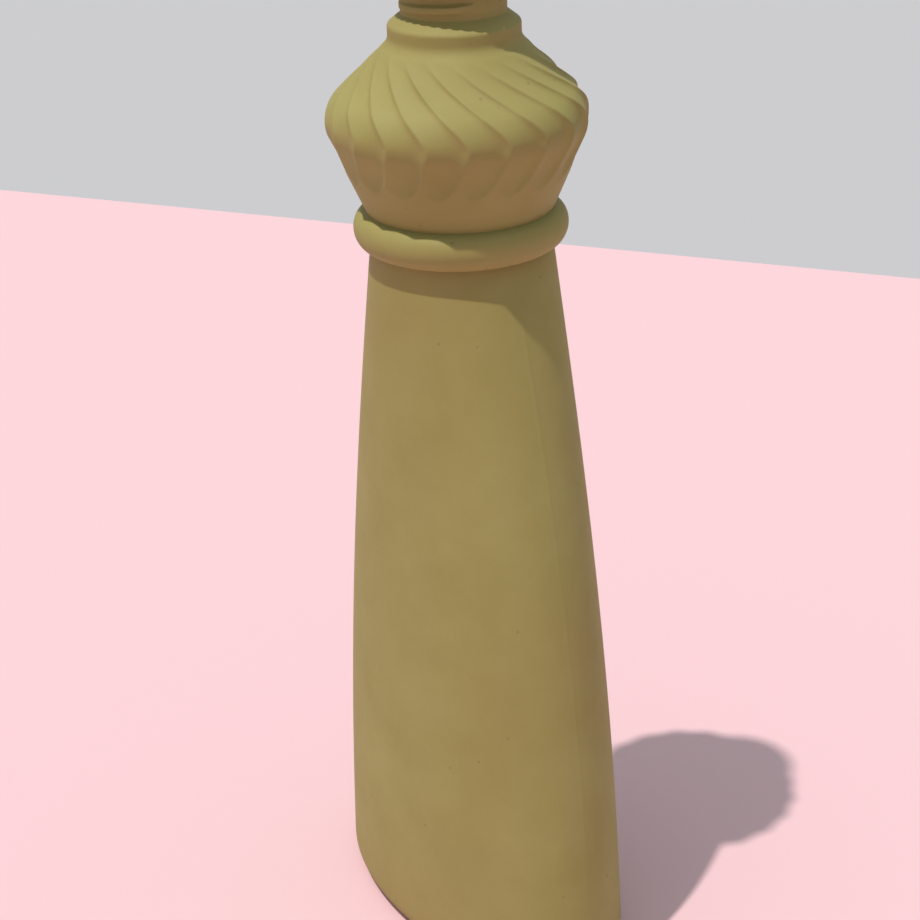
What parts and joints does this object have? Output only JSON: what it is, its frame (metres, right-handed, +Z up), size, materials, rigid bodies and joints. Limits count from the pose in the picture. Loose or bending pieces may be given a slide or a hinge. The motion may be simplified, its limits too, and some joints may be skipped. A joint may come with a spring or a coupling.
{
  "type": "aftershave bottle",
  "caption": "Tall splash bottle with an oval flared body, a ring bead, a swirl-fluted bulb shoulder and a threaded neck with a pouring insert and a screw cap.",
  "frame": {"origin": "under the middle of the oval foot, on the surface the bottle stands on", "axes": "+Z up along the bottle's axis, +X along the foot's long side, -Y out of one broad face"},
  "size_m": [0.0986, 0.0594, 0.2658],
  "materials": {
    "shell": "matte",
    "cap_shell": "matte",
    "cap_core": "satin",
    "insert": "satin",
    "liner": "matte"
  },
  "bodies": {
    "bottle": {"bottle_shell": "shell", "pour_insert": "insert"},
    "liner": {"cap_liner": "liner"},
    "cap": {"inner_cap": "cap_core", "outer_cap": "cap_shell"}
  },
  "joints": [
    {"name": "cap_lift", "type": "slide", "parent": "bottle", "child": "liner", "axis": [0, 0, 1], "range_m": [-0.0088, 0.0054]},
    {"name": "cap_turn", "type": "hinge", "parent": "liner", "child": "cap", "pos_m": [0, 0, 0.2514], "axis": [0, 0, 1], "range_deg": [-990, 600]}
  ],
  "couplings": [
    {"joint": "cap_lift", "follows": "cap_turn", "m_per_rad": 0.00050929}
  ]
}
